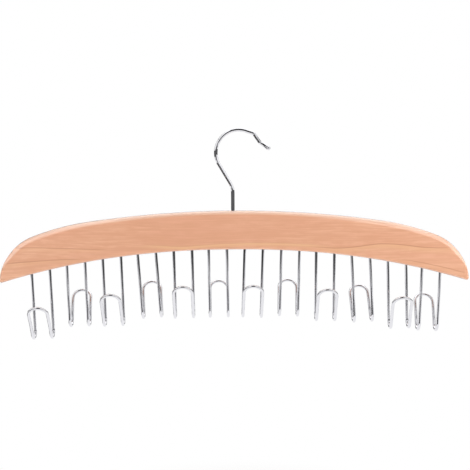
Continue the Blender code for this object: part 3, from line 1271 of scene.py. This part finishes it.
@dataclass
class WoodenBar:
    """The curved flat bar, rounded along its edges and bored for the sleeve and the wires.

    Attributes:
        swivel: Point where the swivel's axis leaves its top.
        length: Its length.
        height: Its height in the middle.
        thickness: Its thickness.
        crown_radius: Radius of its long top arc.
        shoulder_run: Length of each shoulder, from the long arc to the tip.
        shoulder_share: Share between the shoulder's two arcs.
        tip_slope: Slope of the ends.
        arch: Rise of the underside's arch.
        arch_power: How late the arch falls away.
        top_round: Radius of the rounding along its top.
        top_drop: How much further that rounding reaches down the faces, as a share.
        lower_round: Radius of the rounding along its tips and underside.
        fade_start: Slope at which the wide rounding starts to narrow.
        fade_end: Slope at which it is narrow.
        corner_room: Radius left inside the rounding at the lower corners.
        hook_offset: How far the hook stands from the bar's middle, to the right.
        highlight_from: Upward part of the surface's normal where the painted highlight starts.
        highlight_full: The same, where the painted highlight is full.
        highlight_slope: Sideways part of the normal where the painted highlight has faded out.
        crown_steps: Number of steps along half the long top arc.
        shoulder_steps: Number of steps along each arc of a shoulder.
        corner_steps: Number of steps round a lower corner.
        underside_steps: Number of steps along half the underside.
        round_steps: Number of steps across the rounding.
        flat_margin: Narrow flat strip beside the rounding, which keeps the faces' shading flat.
        least_mitre: Least share that a corner's mitre is divided by, which keeps it short.
    """

    swivel: Vector
    length: float = 0.4355
    height: float = 0.0358
    thickness: float = 0.012
    crown_radius: float = 0.955
    shoulder_run: float = 0.081
    shoulder_share: float = 0.9
    tip_slope: float = math.radians(85.0)
    arch: float = 0.0304
    arch_power: float = 2.19
    top_round: float = 0.0045
    top_drop: float = 1.1
    lower_round: float = 0.0014
    fade_start: float = math.radians(50.0)
    fade_end: float = math.radians(75.0)
    corner_room: float = 0.0006
    hook_offset: float = -0.0013
    # Where the painted highlight lies on the top rounding, by the way the surface faces
    highlight_from: float = 0.25
    highlight_full: float = 0.42
    highlight_slope: float = 0.45
    crown_steps: int = 30
    shoulder_steps: int = 28
    corner_steps: int = 12
    underside_steps: int = 60
    round_steps: int = 9
    flat_margin: float = 0.0004
    least_mitre: float = 0.5

    def middle(self) -> Vector:
        """The middle of its top edge."""
        return self.swivel - Vector((self.hook_offset, 0.0, 0.0))

    def place(self) -> Matrix:
        """Matrix from the bar's own frame, whose origin is the middle of its top edge."""
        return Matrix.Translation(self.middle())

    def underside_height(self, x: float) -> float:
        """Height of the underside at a distance from the middle, in the bar's own frame."""
        reach = abs(x) / (self.length / 2)
        return -self.height - self.arch * reach**self.arch_power

    def _corner(self) -> tuple[Vector, float, float]:
        """Works out the round lower corner of the right end.

        Returns:
            The point where the end turns into the corner, the corner's radius, and the
            slope of the underside there.
        """
        radius, half = self.lower_round + self.corner_room, self.length / 2
        reach = (half - radius) / half
        slope = math.atan(self.arch * self.arch_power * reach ** (self.arch_power - 1) / half)
        foot = half - radius * (1 + math.sin(slope))
        centre = Vector((half - radius, self.underside_height(foot) + radius * math.cos(slope)))
        tip = centre + radius * Vector((math.sin(self.tip_slope), math.cos(self.tip_slope)))
        return tip, radius, slope

    def _shoulder(self, start: Vector, heading: float, tip: Vector) -> list[tuple[float, float]]:
        """Finds the two arcs that run smoothly from the crown to the end.

        Args:
            start: Where the crown ends.
            heading: Its heading there.
            tip: Where the end's corner starts.

        Returns:
            The radius and the turn of each arc.
        """
        way, last_way = way_of(heading), way_of(-self.tip_slope)
        span, share = tip - start, self.shoulder_share
        ways = share * way + last_way
        square = ways.length_squared - (share + 1) ** 2
        linear = -2 * span.dot(ways)
        root = math.sqrt(linear**2 - 4 * square * span.length_squared)
        reach = (-linear - root) / (2 * square)
        first, last = start + share * reach * way, tip - reach * last_way
        joint = (first + share * last) / (1 + share)
        middle_way = (last - first).normalized()
        arcs = []
        for chord, begin in ((joint - start, way), (tip - joint, middle_way)):
            radius = chord.length_squared / (2 * chord.dot(left_of(begin)))
            arcs.append((abs(radius), 2 * math.asin(chord.length / (2 * radius))))
        return arcs

    def _half_outline(self) -> BMesh:
        """Draws the right half of the outline.

        Returns:
            Its vertices and edges, from the crown's middle to the arch's.
        """
        shape = bmesh.new()
        start = shape.verts.new((0.0, 0.0, 0.0))
        pen = Pen(shape, [start], Vector((0.0, 0.0)), 0.0)
        shoulder = math.asin((self.length / 2 - self.shoulder_run) / self.crown_radius)
        pen.turn(self.crown_radius, -shoulder, self.crown_steps)
        tip, corner_radius, slope = self._corner()
        for radius, turn in self._shoulder(pen.point, pen.heading, tip):
            pen.turn(radius, turn, self.shoulder_steps)
        pen.turn(corner_radius, self.tip_slope - slope - math.pi, self.corner_steps)
        foot = pen.point.x
        for step in range(1, self.underside_steps + 1):
            x = foot * (1 - step / self.underside_steps)
            span = Vector((x, self.underside_height(x))) - pen.point
            pen.heading = math.atan2(span.y, span.x)
            pen.push(span.length)
        return shape

    def _ordered_outline(self, shape: BMesh) -> list[BMVert]:
        """Puts the outline's vertices in order.

        Args:
            shape: The closed outline.

        Returns:
            Its vertices, clockwise from the middle of the top.
        """
        first = max(shape.verts, key=lambda vertex: vertex.co.z)
        beside = [edge.other_vert(first) for edge in first.link_edges]
        ordered, following = [first], max(beside, key=lambda vertex: vertex.co.x)
        while following is not first:
            before = ordered[-1]
            ordered.append(following)
            beside = [edge.other_vert(following) for edge in following.link_edges]
            following = next(vertex for vertex in beside if vertex is not before)
        return ordered

    def _rounding(self, ordered: list[BMVert]) -> list[tuple[Vector, float]]:
        """Finds how each point of the outline is drawn in by the rounding.

        Args:
            ordered: The outline's vertices, clockwise.

        Returns:
            For each vertex the way down the face and the radius of the rounding there.
        """
        found = []
        for index, vertex in enumerate(ordered):
            before = (vertex.co - ordered[index - 1].co).normalized()
            after = (ordered[(index + 1) % len(ordered)].co - vertex.co).normalized()
            way = (before + after).normalized()
            inward = Vector((way.z, 0.0, -way.x)) / max(way.dot(after), self.least_mitre)
            slope = math.acos(max(-1.0, min(1.0, -inward.normalized().z)))
            share = held((self.fade_end - slope) / (self.fade_end - self.fade_start))
            share = share * share * (3 - 2 * share)
            radius = self.lower_round + (self.top_round - self.lower_round) * share
            found.append((inward * (1 + (self.top_drop - 1) * share), radius))
        return found

    def _grow_ring(
        self, shape: BMesh, edges: list[BMEdge], ordered: list[BMVert],
    ) -> tuple[list[BMEdge], list[BMVert]]:
        """Extrudes a closed ring once, in place.

        Args:
            shape: The mesh that grows.
            edges: The ring's edges.
            ordered: Its vertices, clockwise.

        Returns:
            The new ring's edges, and its vertices in the same order.
        """
        grown = bmesh.ops.extrude_edge_only(shape, edges=edges)["geom"]
        far = far_end(grown, set(ordered))
        new = set(only(far, BMVert))
        ordered = [
            next(edge.other_vert(vertex) for edge in vertex.link_edges
                 if edge.other_vert(vertex) in new)
            for vertex in ordered
        ]
        return only(far, BMEdge), ordered

    def _grow_side(self, shape: BMesh) -> None:
        """Grows the outline into the back half of the bar: rim, rounding and flat face.

        Args:
            shape: The closed outline.
        """
        ordered = self._ordered_outline(shape)
        rounding = self._rounding(ordered)
        rest = [vertex.co.copy() for vertex in ordered]
        edges, half = list(shape.edges), self.thickness / 2
        for step in range(self.round_steps + 1):
            angle = QUARTER * step / self.round_steps
            drawn, sunk = 1 - math.cos(angle), 1 - math.sin(angle)
            edges, ordered = self._grow_ring(shape, edges, ordered)
            for vertex, start, (inward, radius) in zip(ordered, rest, rounding):
                vertex.co = start + inward * radius * drawn
                vertex.co.y = half - radius * sunk
        edges, ordered = self._grow_ring(shape, edges, ordered)
        for vertex, start, (inward, radius) in zip(ordered, rest, rounding):
            vertex.co = start + inward * (radius + self.flat_margin)
            vertex.co.y = half
        bmesh.ops.contextual_create(shape, geom=edges)

    def _solid(self) -> BMesh:
        """Makes the rounded bar without its bores.

        Returns:
            The closed bmesh, in the bar's own frame.
        """
        shape = self._half_outline()
        self._double(shape, "X")
        self._grow_side(shape)
        self._double(shape, "Y")
        bmesh.ops.recalc_face_normals(shape, faces=shape.faces)
        return shape

    def _double(self, shape: BMesh, axis: str) -> None:
        """Adds the mirror image, and joins it on.

        Args:
            shape: The half shape, which becomes whole.
            axis: Axis across which it is mirrored, X or Y.
        """
        whole = [*shape.verts, *shape.edges, *shape.faces]
        bmesh.ops.mirror(shape, geom=whole, axis=axis, merge_dist=MERGE_DISTANCE)
        bmesh.ops.remove_doubles(shape, verts=shape.verts, dist=MERGE_DISTANCE)

    def _mark_top_highlight(self, mesh: bpy.types.Mesh) -> None:
        """Says in an attribute how much painted highlight each point takes, most where the top of
        the bar faces up.

        Args:
            mesh: The finished bar.
        """
        edge = mesh.attributes.new(TOP_HIGHLIGHT, "FLOAT", "POINT")
        for edge_highlight, vertex in zip(edge.data, mesh.vertices):
            share = (vertex.normal.z - self.highlight_from) / (self.highlight_full - self.highlight_from)
            edge_highlight.value = held(share) * max(0.0, 1.0 - abs(vertex.normal.x) / self.highlight_slope)

    def build(self, cutters: list[BMesh], wood: bpy.types.Material) -> None:
        """Makes the bar and drills it.

        Args:
            cutters: Solids of the bores, in the frame's own axes.
            wood: Its finish.
        """
        shape = self._solid()
        shape.transform(self.place())
        blank = mesh_object(shape, "bar_blank")
        drill = blank.modifiers.new("bores", "BOOLEAN")
        drill.operation = "DIFFERENCE"
        drill.solver = "EXACT"
        drill.object = joined(cutters, "bore_cutters")
        bpy.context.view_layer.update()
        ready = blank.evaluated_get(bpy.context.evaluated_depsgraph_get())
        mesh = bpy.data.meshes.new_from_object(ready)
        mesh.name = "wood_bar"
        for item in (drill.object, blank):
            bpy.data.objects.remove(item, do_unlink=True)
        smooth(mesh)
        # Paints a pale highlight along the top rounding, by the way its surface faces
        self._mark_top_highlight(mesh)
        show(mesh, "wood_bar", Body.HANGER, wood)


# Studio


@dataclass(frozen=True)
class Lamp:
    """A square soft lamp that points at the hanger.

    Attributes:
        name: Its name.
        place: Where it hangs.
        size: Its side.
        power: Its power in watts.
    """

    name: str
    place: Triple
    size: float
    power: float


@dataclass(frozen=True)
class Card:
    """A flat upright or level card that only the gloss of metal and lacquer sees.

    Attributes:
        name: Its name.
        low: Its lowest corner.
        high: Its highest corner, level with the other one along the card's normal.
        tone: How bright it is, where the white background is 1.
    """

    name: str
    low: Triple
    high: Triple
    tone: float


@dataclass
class Studio:
    """White floor in a dark room, with soft lamps and with cards for the gloss to see.

    Attributes:
        target: Point that the lamps look at.
        world_level: Strength of the room's light on the hanger.
        white: Strength at which the background shows white.
        floor_height: Height of the floor.
        floor_fade: Distance at which the floor has faded into the white background.
        fade_core: Share of that distance where the fading starts.
        floor_radius: Radius of the floor.
        floor_sides: Number of its sides.
        floor_tone: How white the floor is.
        floor_bounce: How much of its light it throws up onto the hanger.
        floor_gloss: Brightness of the floor in the gloss of the metal.
        room_low: Lowest corner of the dark room.
        room_high: Highest corner of the dark room.
        room_tone: Brightness of its walls.
        foot_tone: Brightness of the walls at their foot, which the white floor lights.
        foot_top: Height at which that light has faded away.
        camera_place: Where the camera stands.
        camera_pitch: Angle at which it looks down.
        camera_yaw: Angle at which it looks to the right.
        camera_roll: Angle at which it is rolled.
        focal_share: Its focal length as a share of the picture's width.
        lamps: The lamps.
        cards: The cards.
    """

    target: Vector
    world_level: float = 0.24
    white: float = 1.0
    floor_height: float = -0.42
    floor_fade: float = 0.35
    fade_core: float = 1 / 3
    floor_radius: float = 6.0
    floor_sides: int = 64
    floor_tone: float = 0.86
    floor_bounce: float = 0.15
    floor_gloss: float = 1.0
    room_low: Triple = (-2.6, -1.76, -0.42)
    room_high: Triple = (2.6, 4.5, 1.40)
    room_tone: float = 0.02
    foot_tone: float = 0.20
    foot_top: float = -0.20
    camera_place: Triple = (-0.01116, -0.83905, -0.03599)
    camera_pitch: float = 0.07094
    camera_yaw: float = 0.00886
    camera_roll: float = -0.00514
    focal_share: float = 904.46 / 470
    lamps: tuple[Lamp, ...] = (
        Lamp("key", (1.30, -0.75, 0.05), 0.8, 29.0),
        Lamp("fill", (-1.25, -0.85, 0.00), 0.9, 22.0),
        Lamp("back", (-0.30, 1.20, 0.15), 1.0, 9.0),
    )
    cards: tuple[Card, ...] = (
        Card("band_left", (-1.95, -1.70, 0.20), (-1.95, 1.90, 1.35), 1.0),
        Card("band_right", (1.95, -1.70, 0.20), (1.95, 1.90, 1.30), 1.1),
        Card("band_back", (-0.55, 1.95, 0.45), (1.90, 1.95, 1.35), 1.2),
        Card("band_front_left", (-1.90, -1.70, 0.20), (-0.55, -1.70, 1.35), 1.0),
        Card("band_front_right", (0.45, -1.70, 0.16), (1.90, -1.70, 1.30), 1.1),
        Card("overhead_left", (-1.90, -1.50, 1.36), (-0.50, 1.50, 1.36), 1.0),
        Card("overhead_right", (0.85, -1.50, 1.37), (1.90, 1.50, 1.37), 0.8),
        Card("softbox", (-0.85, -0.35, 1.35), (1.05, 1.00, 1.35), 1.5),
        Card("overhead_back", (-1.20, 1.05, 1.36), (1.20, 1.90, 1.36), 1.4),
        Card("flag_front", (-0.56, -1.70, -0.415), (0.80, -0.82, -0.415), 0.05),
        Card("flag_left", (-0.90, -1.45, -0.415), (-0.49, 0.50, -0.415), 0.03),
        Card("flag_far_left", (-1.75, -1.20, -0.415), (-1.30, -0.30, -0.415), 0.05),
        Card("flag_far_right", (1.30, -1.20, -0.415), (1.75, -0.30, -0.415), 0.05),
        Card("rail_front", (-1.96, -1.73, -0.19), (1.96, -1.73, 0.10), 0.12),
        Card("rail_left", (-1.97, -1.70, -0.19), (-1.97, 1.90, 0.10), 0.12),
        Card("rail_right", (1.97, -1.70, -0.19), (1.97, 1.90, 0.10), 0.12),
    )

    def _room(self) -> None:
        """Makes the white background and the even light of the room."""
        world = bpy.data.worlds.new("white_background")
        bpy.context.scene.world = world
        world.use_nodes = True
        sheet = Sheet(world.node_tree)

        # The camera, gloss and glass see plain white, and the rest is lit at the room's level.
        path = sheet.add("ShaderNodeLightPath").outputs
        seen = sheet.math("MAXIMUM", path["Is Camera Ray"], path["Is Glossy Ray"])
        seen = sheet.math("MAXIMUM", seen, path["Is Transmission Ray"])
        strength = sheet.stretch(seen, 0.0, 1.0, self.world_level, self.white)
        ground = world.node_tree.nodes["Background"]
        ground.inputs["Color"].default_value = (1.0, 1.0, 1.0, 1.0)
        sheet.tree.links.new(strength, ground.inputs["Strength"])

    def _stage_piece(self, shape: BMesh, name: str) -> tuple[bpy.types.Object, Sheet]:
        """Links a piece of the stage with an empty material.

        Args:
            shape: Its bmesh, which is freed.
            name: Its name.

        Returns:
            The object, and the sheet of its material.
        """
        item = mesh_object(shape, name)
        material, sheet = new_material(name)
        sheet.tree.nodes.remove(sheet.tree.nodes["Principled BSDF"])
        item.data.materials.append(material)
        return item, sheet

    def _finish_stage(self, sheet: Sheet, surface: Socket) -> None:
        """Joins a surface to its material's output."""
        output = sheet.tree.nodes["Material Output"]
        sheet.tree.links.new(surface, output.inputs["Surface"])

    def _glow(self, shape: BMesh, name: str, tone: float, foot: float) -> None:
        """Makes a glowing piece of the stage that only a gloss sees.

        Args:
            shape: Its bmesh, which is freed.
            name: Its name.
            tone: How bright it is.
            foot: How bright it is down at the floor.
        """
        item, sheet = self._stage_piece(shape, name)
        height = sheet.add("ShaderNodeSeparateXYZ", {0: sheet.place()}).outputs["Z"]
        strength = sheet.stretch(height, self.floor_height, self.foot_top, foot, tone)
        glow = sheet.add("ShaderNodeEmission", {"Strength": strength})
        self._finish_stage(sheet, glow.outputs[0])
        item.visible_camera = False
        item.visible_diffuse = False
        item.visible_shadow = False
        item.visible_transmission = False

    def _dark_room(self) -> None:
        """Makes the dark walls and ceiling."""
        shape = bmesh.new()
        low, high = Vector(self.room_low), Vector(self.room_high)
        place = Matrix.Translation((low + high) / 2) @ Matrix.Diagonal((*(high - low), 1.0))
        bmesh.ops.create_cube(shape, size=1.0, matrix=place)
        ground = min(shape.faces, key=lambda face: face.calc_center_median().z)
        bmesh.ops.delete(shape, geom=[ground], context="FACES")
        self._glow(shape, "dark_room", self.room_tone, self.foot_tone)

    def _card(self, card: Card) -> None:
        """Hangs up a card.

        Args:
            card: The card.
        """
        shape = bmesh.new()
        low, high = Vector(card.low), Vector(card.high)
        span = high - low
        thin = min(range(3), key=lambda axis: span[axis])
        turns = (Matrix.Rotation(QUARTER, 4, "Y"), Matrix.Rotation(QUARTER, 4, "X"), Matrix())
        size = Matrix.Diagonal((*(side or 1.0 for side in span), 1.0))
        place = Matrix.Translation((low + high) / 2) @ size @ turns[thin]
        bmesh.ops.create_grid(shape, x_segments=1, y_segments=1, size=0.5, matrix=place)
        self._glow(shape, card.name, card.tone, card.tone)

    def _floor(self) -> None:
        """Makes the pale floor, which keeps the hanger's shadow and fades into the white."""
        shape = bmesh.new()
        bmesh.ops.create_circle(
            shape, cap_ends=True, radius=self.floor_radius, segments=self.floor_sides,
            matrix=Matrix.Translation((0.0, 0.0, self.floor_height)),
        )
        _, sheet = self._stage_piece(shape, "floor")
        level = sheet.scaled(sheet.place(), (1.0, 1.0, 0.0))
        far = sheet.add("ShaderNodeVectorMath", {0: level}, operation="LENGTH").outputs["Value"]
        start = self.floor_fade * self.fade_core
        faded = sheet.stretch(far, start, self.floor_fade, 0.0, 1.0)

        # Gloss and glass see plain light, and so does the camera where the floor has faded.
        path = sheet.add("ShaderNodeLightPath").outputs
        gloss = sheet.math("MAXIMUM", path["Is Glossy Ray"], path["Is Transmission Ray"])
        seen = sheet.math("MULTIPLY", faded, path["Is Camera Ray"])
        strength = sheet.stretch(gloss, 0.0, 1.0, self.white, self.floor_gloss)
        tone = sheet.stretch(path["Is Camera Ray"], 0.0, 1.0, self.floor_bounce, self.floor_tone)
        pale = sheet.add("ShaderNodeBsdfDiffuse", {"Color": tone})
        glow = sheet.add("ShaderNodeEmission", {"Strength": strength})
        share = sheet.math("MAXIMUM", gloss, seen)
        mixed = sheet.add("ShaderNodeMixShader", {0: share, 1: pale.outputs[0], 2: glow.outputs[0]})
        self._finish_stage(sheet, mixed.outputs[0])

    def _lamp(self, lamp: Lamp) -> None:
        """Hangs a lamp, whose own square doesn't show in the metal.

        Args:
            lamp: The lamp.
        """
        data = bpy.data.lights.new(lamp.name, "AREA")
        data.size = lamp.size
        data.energy = lamp.power
        item = bpy.data.objects.new(lamp.name, data)
        item.location = lamp.place
        item.rotation_mode = "QUATERNION"
        item.rotation_quaternion = (self.target - item.location).to_track_quat("-Z", "Y")
        item.visible_glossy = False
        bpy.context.scene.collection.objects.link(item)

    def _camera(self) -> None:
        """Sets up the camera where the picture was taken from."""
        data = bpy.data.cameras.new("camera")
        data.lens = self.focal_share * data.sensor_width
        camera = bpy.data.objects.new("camera", data)
        camera.matrix_world = (
            Matrix.Translation(self.camera_place)
            @ Matrix.Rotation(-self.camera_yaw, 4, "Z")
            @ Matrix.Rotation(QUARTER - self.camera_pitch, 4, "X")
            @ Matrix.Rotation(self.camera_roll, 4, "Z")
        )
        bpy.context.scene.collection.objects.link(camera)
        bpy.context.scene.camera = camera

    def build(self) -> None:
        """Makes the room, its lamps and cards, and the camera."""
        bpy.context.scene.view_settings.view_transform = "Standard"
        self._room()
        self._floor()
        self._dark_room()
        for card in self.cards:
            self._card(card)
        for lamp in self.lamps:
            self._lamp(lamp)
        self._camera()
        LOG.info("studio: %d lamps, %d cards", len(self.lamps), len(self.cards))


def main() -> None:
    """Builds the hanger's pieces and the studio."""
    logging.basicConfig(level=logging.INFO, format="%(name)s: %(message)s")
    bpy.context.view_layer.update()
    swivel = Vector(frame["record"]["behaviour"]["joints"][0]["pos_m"])
    marks = HandlingMarks().group()
    chrome = CHROME_PLATE.material(marks)

    bar = WoodenBar(swivel)
    wires = BeltWires()
    sleeve = HookSleeve(swivel)
    bar.build([*wires.holes(bar), sleeve.hole()], WoodFinish().material(bar.middle(), marks))
    sleeve.build(ZINC_PLATE.material(marks))
    TopHook(swivel).build(chrome)
    wires.build(bar, chrome)
    Studio(bar.middle()).build()


if __name__ == "__main__":
    main()
